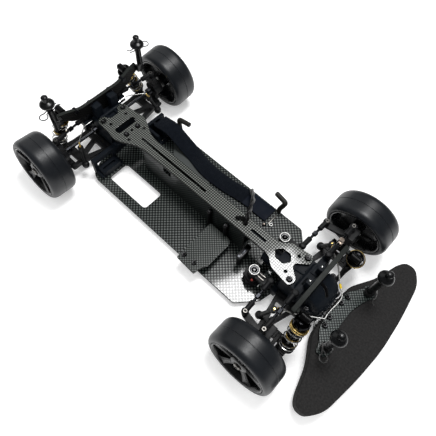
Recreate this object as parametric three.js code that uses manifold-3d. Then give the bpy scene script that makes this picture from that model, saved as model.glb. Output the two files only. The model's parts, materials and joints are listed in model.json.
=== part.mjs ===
// A 1:10 scale radio-controlled drift car chassis, without its body shell, motor, servo or battery.
// Millimetres, +X forward, +Y to the car's left, +Z up, wheels standing on z = 0.
// Pieces are drawn from the middle of the wheelbase; the finished car is shifted so that its
// origin lies under the middle of its overall length.

import * as THREE from "three";
import { mergeVertices } from "three/addons/utils/BufferGeometryUtils.js";
import Module from "manifold-3d";

const wasm = await Module();
wasm.setup();

// ---------- driving dimensions ----------

const DEG = Math.PI / 180;
const gap = 0.3;                    // clearance between pieces that touch

const wheelbase = 257;
const track = 162;                  // between the tyres' middle planes
const tyreRadius = 31.6;
const tyreWidth = 26;
const rimRadius = 25.9;
const camber = 5 * DEG;             // wheels lean in at the top
const bumperFront = 206.8;          // foam bumper's nose, ahead of the wheelbase middle

const deckBottom = 5;
const deckTop = 7.5;
const deckHalfWidth = 50.2;
const upperDeckBottom = 42;
const upperDeckTop = 44.5;
const foamTop = 24;

const axleX = wheelbase / 2;
const wheelY = track / 2;

// the tyre's section: distance from the wheel's axis, distance from its middle plane
const tyreShoulder = [[28.8, 13], [30.8, 11.8], [tyreRadius, 8.5]];
const axleHeight = Math.max(...tyreShoulder.map(([r, y]) => r * Math.cos(camber) + y * Math.sin(camber)));

// suspension, drawn for the front left corner
const armPivot = { y: 17, z: 14 };
const armEnd = { y: 58, z: 14 };
const armThickness = 6;
const pinRadius = 1.5;
const pinBore = 1.9;
const kingpin = { x: axleX, y: 60 };
const frontLink = { inner: [126, 22.5, 55], outer: [126, 60.5, 51] };
const rearLink = { inner: [138, 21.5, 43.5], outer: [130, 60.5, 48.5] };
const frontShock = { top: [144, 33.5, 58], bottom: [147, 54, 19.6] };
const rearShock = { top: [147, 38.5, 60], bottom: [146, 54, 20] };

// steering
const crankPost = { x: 86, y: 21.4 };
const crankBall = { x: 103.5, y: 22.3 };
const knuckleBall = { x: 105, y: 56.4 };
const dragPin = { x: 96.5, y: crankPost.y };
const tieRodHeight = 37.6;

// body posts
const frontPost = { x: 171, y: 31.8, bottom: 27.1, top: 77 };
const rearPost = { x: -134, y: 52, bottom: 58, top: 99 };

// ---------- materials ----------

function finish(color, roughness, metalness) {
  return new THREE.MeshStandardMaterial({ color, roughness, metalness });
}

const carbon = finish(0x33373a, 0.35, 0.1);
const moulded = finish(0x121315, 0.5, 0.0);
const caseBlue = finish(0x15181d, 0.4, 0.0);
const tyreRubber = finish(0x1a1c1f, 0.6, 0.0);
const wheelPlastic = finish(0x0d0e0f, 0.3, 0.0);
const blackAlloy = finish(0x17181a, 0.35, 0.8);
const steel = finish(0xb9bcc0, 0.3, 1.0);
const foam = finish(0x232323, 0.9, 0.0);
const webbing = finish(0x121416, 0.95, 0.0);

// ---------- shape helpers ----------

// A solid that manifold can join and cut, from any closed three.js geometry.
function solid(geometry) {
  const bare = geometry.clone();
  bare.deleteAttribute("normal");
  bare.deleteAttribute("uv");
  const merged = mergeVertices(bare);
  const triangles = new Uint32Array(merged.index.array);
  const vertices = new Float32Array(merged.attributes.position.array);
  if (signedVolume(vertices, triangles) < 0) triangles.reverse();
  return new wasm.Manifold(new wasm.Mesh({ numProp: 3, vertProperties: vertices, triVerts: triangles }));
}

function signedVolume(vertices, triangles) {
  const corner = (i) => new THREE.Vector3().fromArray(vertices, 3 * triangles[i]);
  let volume = 0;
  for (let i = 0; i < triangles.length; i += 3) {
    volume += corner(i).dot(corner(i + 1).cross(corner(i + 2))) / 6;
  }
  return volume;
}

function join(...solids) {
  return solids.reduce((sum, next) => sum.add(next));
}

function cut(body, ...tools) {
  return tools.reduce((rest, tool) => rest.subtract(tool), body);
}

function geometryOf(body) {
  const mesh = body.getMesh();
  const geometry = new THREE.BufferGeometry();
  geometry.setAttribute("position", new THREE.BufferAttribute(new Float32Array(mesh.vertProperties), 3));
  geometry.setIndex(new THREE.BufferAttribute(new Uint32Array(mesh.triVerts), 1));
  return geometry;
}

// A box between two corners.
function block([x0, x1], [y0, y1], [z0, z1]) {
  const geometry = new THREE.BoxGeometry(x1 - x0, y1 - y0, z1 - z0);
  return solid(geometry.translate((x0 + x1) / 2, (y0 + y1) / 2, (z0 + z1) / 2));
}

// Turns a geometry drawn along Y from the origin so that it runs from one point to another.
function alongLine(geometry, from, to) {
  const start = new THREE.Vector3(...from);
  const direction = new THREE.Vector3(...to).sub(start).normalize();
  const turn = new THREE.Quaternion().setFromUnitVectors(new THREE.Vector3(0, 1, 0), direction);
  return geometry.applyQuaternion(turn).translate(...from);
}

// Thin bars need fewer facets than thick ones.
function facets(radius) {
  return radius < 1.8 ? 6 : radius < 3.5 ? 8 : 10;
}

// A round bar between two points.
function rod(from, to, radius, sides = facets(radius)) {
  const length = new THREE.Vector3(...from).distanceTo(new THREE.Vector3(...to));
  const geometry = new THREE.CylinderGeometry(radius, radius, length, sides).translate(0, length / 2, 0);
  return solid(alongLine(geometry, from, to));
}

// An upright round bar.
function post(x, y, z0, z1, radius, sides) {
  return rod([x, y, z0], [x, y, z1], radius, sides);
}

// A flat bar between two points, its width lying as near to the given direction as it can.
function bar(from, to, width, thickness, widthAlong) {
  const start = new THREE.Vector3(...from);
  const end = new THREE.Vector3(...to);
  const along = end.clone().sub(start).normalize();
  const normal = along.clone().cross(new THREE.Vector3(...widthAlong)).normalize();
  const across = normal.clone().cross(along);
  const geometry = new THREE.BoxGeometry(start.distanceTo(end), width, thickness);
  geometry.applyMatrix4(new THREE.Matrix4().makeBasis(along, across, normal));
  return solid(geometry.translate(...start.add(end).multiplyScalar(0.5).toArray()));
}

// A closed path through points [a, b, cornerRadius].
function roundedPath(points, path) {
  const count = points.length;
  points.forEach(([a, b, radius = 0], i) => {
    const here = new THREE.Vector2(a, b);
    const before = new THREE.Vector2(...points[(i + count - 1) % count].slice(0, 2));
    const after = new THREE.Vector2(...points[(i + 1) % count].slice(0, 2));
    const enter = here.clone().add(before.sub(here).setLength(radius));
    const leave = here.clone().add(after.sub(here).setLength(radius));
    if (i === 0) path.moveTo(enter.x, enter.y);
    else path.lineTo(enter.x, enter.y);
    if (radius > 0) path.quadraticCurveTo(here.x, here.y, leave.x, leave.y);
  });
  path.closePath();
  return path;
}

function roundHole(a, b, radius) {
  const corners = [0, 1, 2, 3, 4, 5, 6, 7].map((i) => (i / 8) * 2 * Math.PI);
  return hole(...corners.map((angle) => [a + radius * Math.cos(angle), b + radius * Math.sin(angle)]));
}

function hole(...points) {
  return roundedPath(points, new THREE.Path());
}

// A rectangular hole with rounded corners.
function slot([a0, a1], [b0, b1], radius) {
  return hole([a0, b0, radius], [a1, b0, radius], [a1, b1, radius], [a0, b1, radius]);
}

function extruded(points, holes, depth) {
  const shape = roundedPath(points, new THREE.Shape());
  shape.holes = holes;
  return new THREE.ExtrudeGeometry(shape, { depth, bevelEnabled: false, curveSegments: 4 });
}

// A flat sheet: outline in X and Y, between two heights.
function sheet(points, [z0, z1], holes = []) {
  return solid(extruded(points, holes, z1 - z0).translate(0, 0, z0));
}

// A wall across the car: outline in Y and Z, between two X places.
function wall(points, [x0, x1], holes = []) {
  const geometry = extruded(points, holes, x1 - x0);
  const axes = [new THREE.Vector3(0, 1, 0), new THREE.Vector3(0, 0, 1), new THREE.Vector3(1, 0, 0)];
  geometry.applyMatrix4(new THREE.Matrix4().makeBasis(...axes));
  return solid(geometry.translate(x0, 0, 0));
}

// A ring about the Y axis, from a closed section of [radius, y] points.
function ring(section, sides) {
  const points = [...section, section[0]].map(([r, y]) => new THREE.Vector2(r, y));
  return new THREE.LatheGeometry(points, sides);
}

// An outline with its mirror image: half is drawn on the +Y side, from the rear to the front.
function bothSides(half) {
  return [...half, ...half.toReversed().map(([x, y, r]) => [x, -y, r])];
}

// ---------- the assembly ----------

const car = new THREE.Group();
const tyreRear = -(axleX + tyreRadius);
const overallMiddle = (bumperFront + tyreRear) / 2;

function add(name, geometry, material) {
  const mesh = new THREE.Mesh(geometry, material);
  mesh.name = name;
  mesh.position.x = -overallMiddle;
  car.add(mesh);
}

function addSolid(name, body, material) {
  add(name, geometryOf(body), material);
}

// Mirrors a piece drawn at the front left to another corner: end is 1 front or -1 rear,
// side is 1 left or -1 right.
function atCorner(body, end, side) {
  const geometry = geometryOf(body).scale(end, side, 1);
  if (end * side < 0) geometry.index.array.reverse();
  return geometry;
}

const sides = [["left", 1], ["right", -1]];
const ends = [["front", 1], ["rear", -1]];

// Puts a geometry drawn about the Y axis at the front left wheel's place and lean.
function inWheelPlace(geometry) {
  return solid(geometry.rotateX(camber).translate(axleX, wheelY, axleHeight));
}

function wheelRod(y0, y1, radius, segments) {
  const geometry = new THREE.CylinderGeometry(radius, radius, y1 - y0, segments);
  return inWheelPlace(geometry.translate(0, (y0 + y1) / 2, 0));
}

// ---------- decks ----------

function lowerDeck() {
  const half = [
    [-158, 15, 3], [-118, 15, 4], [-106, 46, 4], [-98, deckHalfWidth, 3], [89, deckHalfWidth, 2],
    [98, 40.5, 2], [105.4, 32, 2], [110, 12.4, 3], [152, 12.4, 2], [156, 20, 2], [170, 20, 3],
  ];
  const window = slot([-89.6, -37.1], [-40, -17], 4);
  const plate = sheet(bothSides(half), [deckBottom, deckTop], [window]);
  const posts = sides.map(([, side]) => post(crankPost.x, side * crankPost.y, deckTop - 1, 31, pinRadius));
  return join(plate, ...posts);
}

function upperDeck() {
  const half = [
    [-118, 5, 3], [-125.5, 9, 2], [-125.5, 16, 4], [-96, 19.2, 2.8], [-90.5, 17.5, 2.8], [-73, 7.9, 8],
    [87.5, 7.7, 4], [96.5, 15, 3], [118, 18, 4], [119.5, 9.5, 2], [110, 2, 1],
  ];
  const holes = [
    slot([-105, -98], [-12, 12], 3.2),
    slot([-78, 7], [-1, 1], 0.9),
    slot([62, 78.5], [-1.3, 1.3], 1.2),
    hole([89, 0, 1], [94, -5.6, 1], [102, -5.6, 1], [106, 0, 1], [102, 5.6, 1], [94, 5.6, 1]),
    roundHole(-92.6, 0, 1.5),
  ];
  for (const [x, y] of [[-112.2, 9.5], [-85.7, 9.5], [108, 9.3]]) {
    holes.push(roundHole(x, y, 1.5), roundHole(x, -y, 1.5));
  }
  return sheet(bothSides(half), [upperDeckBottom, upperDeckTop], holes);
}

// The keel between the decks: two walls that the centre drive runs between.
function centreSpine() {
  const low = deckTop + gap;
  const high = upperDeckBottom - gap;
  const walls = [-7, 5].map((y) => block([-70, 60], [y, y + 2], [low, high]));
  const floor = block([-70, 60], [-7, 7], [low, low + 3]);
  const ties = [-60, -5, 50].map((x) => block([x - 4, x + 4], [-7, 7], [high - 4, high]));
  const notch = block([-42, -32], [-8, 0], [high - 9, high + 1]);
  return cut(join(...walls, floor, ...ties), notch);
}

// ---------- bulkheads ----------

// The blocks and hinge pins that carry a pair of lower arms, for the front end.
function armMounts() {
  const pieces = [];
  for (const [, side] of sides) {
    for (const [x0, x1] of [[106, 111.6], [146, 151]]) {
      const y = [side * 9, side * 21].sort((a, b) => a - b);
      pieces.push(block([x0, x1], y, [deckTop + gap, 18]));
    }
    pieces.push(rod([107, side * armPivot.y, armPivot.z], [150, side * armPivot.y, armPivot.z], pinRadius));
  }
  return join(...pieces);
}

// The rounded cover over the front gears: a drum about the Y axis with rounded rims.
function gearCover() {
  const section = [[0, -17], [13, -16.5], [17, -14.5], [19, -10], [19.5, -4], [19.5, 4], [19, 10], [17, 14.5],
    [13, 16.5], [0, 17]];
  return solid(new THREE.LatheGeometry(section.map(([r, y]) => new THREE.Vector2(r, y)), 24).translate(133, 0, 29));
}

function frontGearCase() {
  const low = deckTop + gap;
  const keel = block([107, 151], [-12.5, 12.5], [low, 30]);
  const bulkhead = block([109, 131], [-16, 16], [18.5, upperDeckBottom - gap]);
  const neck = block([123, 129.5], [-14, 14], [41, 47]);
  const linkBar = block([123, 129.5], [-26.5, 26.5], [46.5, 49]);
  const linkSeats = sides.map(([, side]) => post(frontLink.inner[0], side * frontLink.inner[1], 48, 51.8, 3.1));
  const towerClamps = sides.map(([, side]) => block([126.5, 131.2], [side * 8 - 3.2, side * 8 + 3.2], [46, 59]));
  const dome = gearCover();
  const lip = sheet(bothSides([[134, 21, 3], [146, 18, 5], [153.5, 9, 6]]), [26, 31]);
  const towerSlot = block([131.2, 135.8], [-45, 45], [33.7, 60]);
  const deckSlot = block([100, 121], [-30, 30], [upperDeckBottom - gap, 60]);
  const armSlot = block([105, 160], [-20, 20], [0, 18.5]);
  return join(keel, bulkhead, neck, linkBar, ...linkSeats, ...towerClamps, cut(dome, towerSlot, deckSlot, armSlot), lip, armMounts());
}

function rearGearCase() {
  const low = deckTop + gap;
  const keel = block([-151, -107], [-12.5, 12.5], [low, 30]);
  const upper = block([-149, -108], [-16, 16], [18.5, upperDeckBottom - gap]);
  const linkBar = block([-142.5, -133.5], [-26, 26], [34, 40.5]);
  const towerClamps = sides.map(([, side]) => block([-134.2, -127], [side * 9.5 - 4, side * 9.5 + 4], [38, 57.5]));
  const towerSlot = block([-138.3, -134.2], [-20, 20], [30, 60]);
  const mounts = solid(atCorner(armMounts(), -1, 1));
  return join(cut(join(upper, linkBar), towerSlot), keel, mounts, ...towerClamps);
}

// ---------- shock towers ----------

function frontTower() {
  const half = [[14, 34], [14.5, 47, 2], [21, 52, 3], [37.5, 54.5, 2], [37.5, 61, 2], [20, 65.5, 6], [0, 66.5]];
  const plate = wall([...half, ...half.slice(0, -1).toReversed().map(([y, z, r]) => [-y, z, r])], [131.5, 135.5]);
  const bolts = sides.map(([, side]) => {
    const [x, y, z] = frontShock.top;
    return rod([134, side * y, z], [x - 6.3, side * y, z], 2);
  });
  return join(plate, ...bolts);
}

function rearTower() {
  const half = [[13, 30.3], [13, 44, 2], [18, 47.8, 3], [34, 50.5, 4], [41, 57, 4], [48.8, 61, 2], [47.5, 68.5, 2],
    [38, 66, 5], [23, 59.7, 4], [0, 59.7]];
  const outline = [...half, ...half.slice(0, -1).toReversed().map(([y, z, r]) => [-y, z, r])];
  const plate = wall(outline, [-138, -134.5]);
  const bolts = sides.map(([, side]) => {
    const [x, y, z] = rearShock.top;
    return rod([-136, side * y, z], [-(x - 6.3), side * y, z], 2);
  });
  return join(plate, ...bolts);
}

// ---------- suspension, front left ----------

function lowerArm(shock) {
  const low = armPivot.z - armThickness / 2;
  const high = armPivot.z + armThickness / 2;
  const inner = armPivot.y;
  const outline = [
    [axleX - 16.5, inner], [axleX + 17, inner], [axleX + 18, 40, 4], [axleX + 19.5, 48, 2],
    [axleX + 19.5, 57.5, 1.5], [axleX + 11.6, 57.5, 1.5], [axleX + 11.6, 51], [axleX - 10.5, 51],
    [axleX - 12, 44, 4],
  ];
  const openings = [
    hole([axleX - 12, 24, 2], [axleX + 1, 24, 1.5], [axleX - 6, 43, 2]),
    hole([axleX + 5, 24, 1.5], [axleX + 14, 24, 2], [axleX + 13, 43, 2], [axleX - 1, 43, 2]),
  ];
  const plate = sheet(outline, [low, high - 1], openings);
  const barrel = rod([axleX - 16.5, inner, armPivot.z], [axleX + 17, inner, armPivot.z], 3.6, 10);
  const prongs = [[-10.5, -7], [7.1, 10.5]].flatMap(([a, b]) => [
    block([axleX + a, axleX + b], [45, armEnd.y], [low, high]),
    rod([axleX + a, armEnd.y, armEnd.z], [axleX + b, armEnd.y, armEnd.z], armThickness / 2),
  ]);
  const [shockX, shockY] = shock.bottom;
  const seat = block([shockX - 3.5, shockX + 3.5], [shockY - 4, shockY + 3], [low, high - 0.8]);
  const bores = [armPivot, armEnd].map(({ y, z }) => rod([axleX - 25, y, z], [axleX + 25, y, z], pinBore));
  return cut(join(plate, barrel, ...prongs, seat), ...bores);
}

function outerPin() {
  return rod([axleX - 10.9, armEnd.y, armEnd.z], [axleX + 10.9, armEnd.y, armEnd.z], pinRadius);
}

function outerLug() {
  return rod([axleX - 6.6, armEnd.y, armEnd.z], [axleX + 6.7, armEnd.y, armEnd.z], 3.8, 10);
}

// The C-shaped carrier that holds the steering knuckle between its two kingpins.
function frontHubCarrier() {
  const width = [axleX - 5, axleX + 5];
  const lower = block(width, [51, 64.5], [17.6, 20.5]);
  const upper = block(width, [51, 64.5], [43.5, 46.5]);
  const back = block(width, [51, 54], [17.6, 46.5]);
  const [x, y, z] = frontLink.outer;
  const stud = post(x, y, 46, z - 2.8, 1.8);
  const kingpins = [post(kingpin.x, kingpin.y, 20, 23, pinRadius), post(kingpin.x, kingpin.y, 41, 44, pinRadius)];
  const shaftHole = wheelRod(-35, -20, 4.2, 10);
  return join(cut(join(lower, upper, back), shaftHole), outerLug(), outerPin(), stud, ...kingpins);
}

const axleBore = () => wheelRod(-30, -10, 3.5, 10);

function steeringKnuckle() {
  const boss = post(kingpin.x, kingpin.y, 20.9, 43.1, 3.9, 10);
  const body = block([axleX - 5.5, axleX + 5.5], [57.6, 64], [24, 40]);
  const bearingHousing = wheelRod(-19, -14, 7.5, 14);
  const { x, y } = knuckleBall;
  const arm = sheet([[125, 57.6], [x, y - 3.3, 2.5], [x - 4, y, 2.2], [x, y + 3.3, 2.5], [125, 63]], [31.2, 33.8]);
  const sockets = [[20, 23.5], [40.6, 44]].map(([z0, z1]) => post(kingpin.x, kingpin.y, z0, z1, pinBore + 0.1));
  return cut(join(boss, body, bearingHousing, arm), axleBore(), ...sockets);
}

function rearHub() {
  const bearingHousing = wheelRod(-23.5, -14, 8.2, 14);
  const { outer: [x, y, z] } = rearLink;
  const upright = block([axleX - 4.5, axleX + 4.5], [58, 63], [16, z - 3.6]);
  const stud = post(x, y, z - 5, z - 3, 1.8);
  return join(cut(join(bearingHousing, upright, outerLug()), axleBore()), outerPin(), stud);
}

// A turnbuckle with a ball cup at each end.
function turnbuckle(from, to, cupRadius, cupHeight) {
  const cups = [from, to].map(([x, y, z]) => post(x, y, z - cupHeight / 2, z + cupHeight / 2, cupRadius));
  return join(...cups, rod(from, to, 1.9));
}

// ---------- shocks ----------

// Distances along a shock from its top eye.
const shockBodyEnd = 26;
const collarStart = 9.5;
const collarEnd = 13;

function shockFrame({ top, bottom }) {
  const start = new THREE.Vector3(...top);
  const length = start.distanceTo(new THREE.Vector3(...bottom));
  const direction = new THREE.Vector3(...bottom).sub(start).divideScalar(length);
  const at = (distance) => start.clone().addScaledVector(direction, distance).toArray();
  return { length, at };
}

function shockBody(shock) {
  const { at } = shockFrame(shock);
  const [x, y, z] = shock.top;
  const eye = rod([x - 6, y, z], [x + 6, y, z], 3.8);
  const cap = rod(at(3), at(8.5), 7.2, 12);
  const cylinder = rod(at(7), at(shockBodyEnd), 5.5);
  const collar = rod(at(collarStart), at(collarEnd), 7.9, 12);
  const bore = rod(at(10), at(shockBodyEnd + 1), 1.9);
  return cut(join(eye, cap, cylinder, collar), bore);
}

function shockShaft(shock) {
  const { length, at } = shockFrame(shock);
  const [x, y, z] = shock.bottom;
  const shaft = rod(at(18), at(length - 3), pinRadius);
  const seat = rod(at(length - 7), at(length - 5), 7.2);
  const neck = rod(at(length - 5.5), at(length - 1), 2.4);
  const eye = rod([x - 3.4, y, z], [x + 3.4, y, z], 3.2);
  return join(shaft, seat, neck, eye);
}

function spring(shock) {
  const { length, at } = shockFrame(shock);
  const reach = length - 7 - gap - collarEnd - gap;
  const section = [[5.9, 0], [7.4, 0], [7.4, reach], [5.9, reach]];
  return solid(alongLine(ring(section, 12), at(collarEnd + gap), at(length)));
}

// ---------- wheels, about the Y axis with +Y outward ----------

function tyre() {
  const outer = [...tyreShoulder, ...tyreShoulder.toReversed().map(([r, y]) => [r, -y])];
  const bore = rimRadius + gap;
  return inWheelPlace(ring([[bore, 12.6], ...outer, [bore, -12.6]], 32));
}

function rim() {
  const half = tyreWidth / 2;
  const barrel = ring([[23.8, half], [rimRadius, half], [rimRadius, -half], [24, -half]], 24);
  const spokes = [0, 1, 2, 3, 4].map((i) => {
    const spoke = new THREE.BoxGeometry(22, 3, 6).translate(13.2, 9, 0);
    return inWheelPlace(spoke.rotateY((i / 5) * 2 * Math.PI));
  });
  const hub = wheelRod(-11, 11, 6.6, 6);
  const axle = wheelRod(-22, 12, 3, 10);
  return join(inWheelPlace(barrel), ...spokes, hub, axle);
}

// ---------- steering links ----------

function bellcrank() {
  const { x, y } = crankPost;
  const barrel = post(x, y, deckTop + 0.7, 29.9, 4.6);
  const flange = post(x, y, 28.4, 29.9, 5.4);
  const arm = sheet([[x, y - 4], [crankBall.x, crankBall.y - 3.2, 2.2], [crankBall.x + 3.4, crankBall.y, 2],
    [crankBall.x, crankBall.y + 3.2, 2.2], [x, y + 4]], [24.5, 27.7]);
  const pillar = post(crankBall.x, crankBall.y, 27, 34.3, 2.5);
  const pin = post(dragPin.x, dragPin.y, 21, 25, pinRadius);
  const bore = post(x, y, 0, 40, 1.9);
  return cut(join(barrel, flange, arm, pillar, pin), bore);
}

function dragLink() {
  const { x, y } = dragPin;
  const link = block([x - 2.6, x + 2.6], [-y, y], [20.8, 23.6]);
  const eyes = [y, -y].map((place) => post(x, place, 20.8, 23.6, 3.8));
  const bores = [y, -y].map((place) => post(x, place, 20, 24, pinBore));
  return cut(join(link, ...eyes), ...bores);
}

function tieRod() {
  const inner = [crankBall.x, crankBall.y, tieRodHeight];
  const outer = [knuckleBall.x, knuckleBall.y, tieRodHeight];
  return turnbuckle(inner, outer, 3.3, 4);
}

// The half shaft between the rear gear case and hub.
function driveShaft() {
  const z = axleHeight - (wheelY - 56) * Math.sin(camber);
  const shaft = rod([axleX, 18, z], [axleX, 55.6, z], 1.6);
  const joints = [rod([axleX, 17.2, z], [axleX, 22, z], 3.6), rod([axleX, 51, z], [axleX, 55.8, z], 3.6)];
  return join(shaft, ...joints);
}

// ---------- bumper and body posts ----------

function bumperSupport() {
  const half = [
    [156, 6, 2], [157, 20, 5], [165, 31.5, 3.5], [167, 39, 2.5], [174, 39, 3], [177.5, 32, 3],
    [173, 23, 4], [169.5, 10, 4],
  ];
  return sheet(bothSides(half), [foamTop + gap, foamTop + gap + 2.5]);
}

function foamBumper() {
  const half = [
    [155.5, 22, 3], [157, 29, 3], [169, 50, 6], [176, 74, 4], [181, 82, 4.5], [191, 82, 4.5], [200, 70, 8],
    [205, 34, 12], [bumperFront, 6, 4],
  ];
  return sheet(bothSides(half), [deckTop + gap, foamTop]);
}

function bodyPost({ x, y, bottom, top }, footRadius, seatBottom, seatTop) {
  const stem = post(x, y, bottom, top, 2.9);
  const foot = post(x, y, bottom, bottom + 5, footRadius);
  const seat = post(x, y, seatBottom, seatTop, 6.7);
  const cap = post(x, y, top - 4, top, 3.1);
  return join(stem, foot, seat, cap);
}

function rearBodyPost() {
  const { x, y } = rearPost;
  const clamp = block([-134.2, -130.5], [y - 6, y + 1.5], [60.5, 68]);
  return join(bodyPost(rearPost, 3.1, 87, 92), clamp);
}

// ---------- deck fittings ----------

function electronicsPlate() {
  const outline = [
    [25.5, -57, 1.5], [47.5, -58, 1.5], [48.5, -50, 2], [52, -44, 2], [52, -15, 2], [48.5, -11, 2], [24, -11, 1.5],
  ];
  const plate = sheet(outline, [18, 20]);
  const posts = [[29, -46.5], [41, -46.5], [31, -15], [44, -15]].map(([x, y]) => post(x, y, deckTop + gap, 18.5, 2.6));
  return join(plate, ...posts);
}

function rearBracketRight() {
  const low = deckTop + gap;
  const base = block([-105.5, -91.5], [-46, -19], [low, 11]);
  const uprights = [[-46, -42], [-23, -19]].map((y) => block([-105.5, -101], y, [low, 27]));
  const beam = block([-105.5, -101], [-46, -14.5], [22, 27]);
  const shelf = cut(block([-101.5, -91.5], [-43, -22], [10, 15]), block([-98, -95], [-40, -25], [12, 16]));
  return join(base, ...uprights, beam, shelf);
}

function rearBracketLeft() {
  const low = deckTop + gap;
  const base = block([-101, -80], [20, 46], [low, 11]);
  const ribs = [21, 30, 39].map((y) => block([-100, -81], [y, y + 3], [low, 24]));
  const back = block([-101, -97.5], [20, 46], [low, 25]);
  return join(base, ...ribs, back);
}

// A band of even width across Y and even thickness, whose underside passes through the points.
function ribbon(points, width, thickness) {
  const corners = [[-1, 0], [1, 0], [1, 1], [-1, 1]];
  const positions = points.flatMap(([x, y, z]) =>
    corners.flatMap(([across, up]) => [x, y + (across * width) / 2, z + up * thickness]));
  const index = [0, 1, 2, 0, 2, 3];
  for (let i = 0; i + 1 < points.length; i++) {
    for (let k = 0; k < 4; k++) {
      const [a, b] = [4 * i + k, 4 * i + ((k + 1) % 4)];
      index.push(a, a + 4, b + 4, a, b + 4, b);
    }
  }
  const last = 4 * (points.length - 1);
  index.push(last, last + 2, last + 1, last, last + 3, last + 2);
  const geometry = new THREE.BufferGeometry();
  geometry.setAttribute("position", new THREE.Float32BufferAttribute(positions, 3));
  geometry.setIndex(index);
  return solid(geometry);
}

// The hook-and-loop strap that holds the battery: over the rear bracket, then along the left of the deck.
function batteryStrap() {
  const onDeck = deckTop + 1;
  const path = [
    [-93, 36, 25.6], [-84, 37, 25.8], [-76, 38.5, 23.5], [-62, 39.8, 14.5], [-47, 39.5, onDeck],
    [-24, 35, onDeck], [2, 35.5, onDeck], [28, 39, onDeck], [57.5, 39.5, onDeck],
  ];
  return ribbon(path, 17, 2.2);
}

// A flat hook on the deck's left edge: end is 1 for the front one, whose tip points to the rear.
function batteryHook(x, end) {
  const foot = block([x - 3, x + 3], [48.6, 52.4], [deckTop + gap, 11]);
  const upright = bar([x, 51, 9], [x + end * 4, 52.5, 24], 5, 3, [1, 0, 0]);
  const tip = bar([x + end * 5.5, 51.5, 23.6], [x - end * 10.5, 54.4, 25], 5, 3.4, [0, 0, 1]);
  return join(foot, upright, tip);
}

// ---------- every piece ----------

addSolid("lower_deck", lowerDeck(), carbon);
addSolid("upper_deck", upperDeck(), carbon);
addSolid("centre_spine", centreSpine(), carbon);
addSolid("front_gear_case", frontGearCase(), caseBlue);
addSolid("rear_gear_case", rearGearCase(), caseBlue);
addSolid("front_shock_tower", frontTower(), carbon);
addSolid("rear_shock_tower", rearTower(), carbon);
addSolid("bumper_support_plate", bumperSupport(), carbon);
addSolid("foam_bumper", foamBumper(), foam);
addSolid("electronics_plate", electronicsPlate(), carbon);
addSolid("rear_bracket_left", rearBracketLeft(), moulded);
addSolid("rear_bracket_right", rearBracketRight(), moulded);
addSolid("battery_strap", batteryStrap(), webbing);
addSolid("battery_hook_front", batteryHook(60, 1), carbon);
addSolid("battery_hook_rear", batteryHook(-78, -1), carbon);
addSolid("drag_link", dragLink(), carbon);

for (const [sideName, side] of sides) {
  add(`front_body_post_${sideName}`, atCorner(bodyPost(frontPost, 4.6, 62.5, 71), 1, side), moulded);
  add(`rear_body_post_${sideName}`, atCorner(rearBodyPost(), 1, side), moulded);
  add(`bellcrank_${sideName}`, atCorner(bellcrank(), 1, side), moulded);
  add(`tie_rod_${sideName}`, atCorner(tieRod(), 1, side), moulded);
  add(`hub_carrier_front_${sideName}`, atCorner(frontHubCarrier(), 1, side), moulded);
  add(`steering_knuckle_${sideName}`, atCorner(steeringKnuckle(), 1, side), moulded);
  add(`hub_rear_${sideName}`, atCorner(rearHub(), -1, side), moulded);
  add(`drive_shaft_rear_${sideName}`, atCorner(driveShaft(), -1, side), steel);
  for (const [endName, end] of ends) {
    const corner = `${endName}_${sideName}`;
    const shock = end > 0 ? frontShock : rearShock;
    const link = end > 0 ? frontLink : rearLink;
    add(`lower_arm_${corner}`, atCorner(lowerArm(shock), end, side), moulded);
    add(`upper_link_${corner}`, atCorner(turnbuckle(link.inner, link.outer, 3.3, 5), end, side), blackAlloy);
    add(`shock_body_${corner}`, atCorner(shockBody(shock), end, side), blackAlloy);
    add(`shock_shaft_${corner}`, atCorner(shockShaft(shock), end, side), steel);
    add(`spring_${corner}`, atCorner(spring(shock), end, side), steel);
    add(`tyre_${corner}`, atCorner(tyre(), end, side), tyreRubber);
    add(`rim_${corner}`, atCorner(rim(), end, side), wheelPlastic);
  }
}

export default car;
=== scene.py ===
import json
import math

import bmesh
import bpy
from mathutils import Matrix, Vector


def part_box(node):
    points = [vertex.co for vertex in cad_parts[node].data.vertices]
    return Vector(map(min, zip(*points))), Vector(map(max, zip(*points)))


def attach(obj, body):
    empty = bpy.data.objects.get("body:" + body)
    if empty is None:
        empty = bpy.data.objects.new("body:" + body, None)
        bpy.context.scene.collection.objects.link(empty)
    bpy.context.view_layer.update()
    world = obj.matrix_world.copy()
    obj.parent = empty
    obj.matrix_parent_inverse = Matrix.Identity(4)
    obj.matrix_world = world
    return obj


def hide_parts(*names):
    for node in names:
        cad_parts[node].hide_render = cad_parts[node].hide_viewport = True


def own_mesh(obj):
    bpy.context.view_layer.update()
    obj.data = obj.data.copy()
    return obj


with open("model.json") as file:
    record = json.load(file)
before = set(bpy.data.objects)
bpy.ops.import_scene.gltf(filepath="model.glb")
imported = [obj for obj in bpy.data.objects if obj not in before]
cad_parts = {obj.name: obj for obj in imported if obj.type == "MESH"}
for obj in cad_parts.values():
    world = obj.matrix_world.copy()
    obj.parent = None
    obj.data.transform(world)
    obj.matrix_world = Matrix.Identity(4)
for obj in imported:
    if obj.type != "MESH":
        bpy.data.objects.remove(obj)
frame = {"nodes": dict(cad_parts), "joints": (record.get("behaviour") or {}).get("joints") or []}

# A 1:10 scale radio-controlled drift car chassis. Lengths in this script are millimetres in the
# frame's axes, and Piece.done() turns them into metres. Deck features are placed from the middle of
# the wheelbase, and everything that moves is placed from the frame's joints.

MM = 0.001
WHEELBASE = 257
TYRE_RADIUS = 31.6
TYRE_HALF_WIDTH = 13
RIM_RADIUS = 25.9
BUMPER_FRONT = 206.8
AXLE_X = WHEELBASE / 2
MIDDLE = (BUMPER_FRONT - AXLE_X - TYRE_RADIUS) / 2

DECK_TOP = 7.5
UPPER_DECK_TOP = 44.5
BUMPER_PLATE_TOP = 26.8

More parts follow.
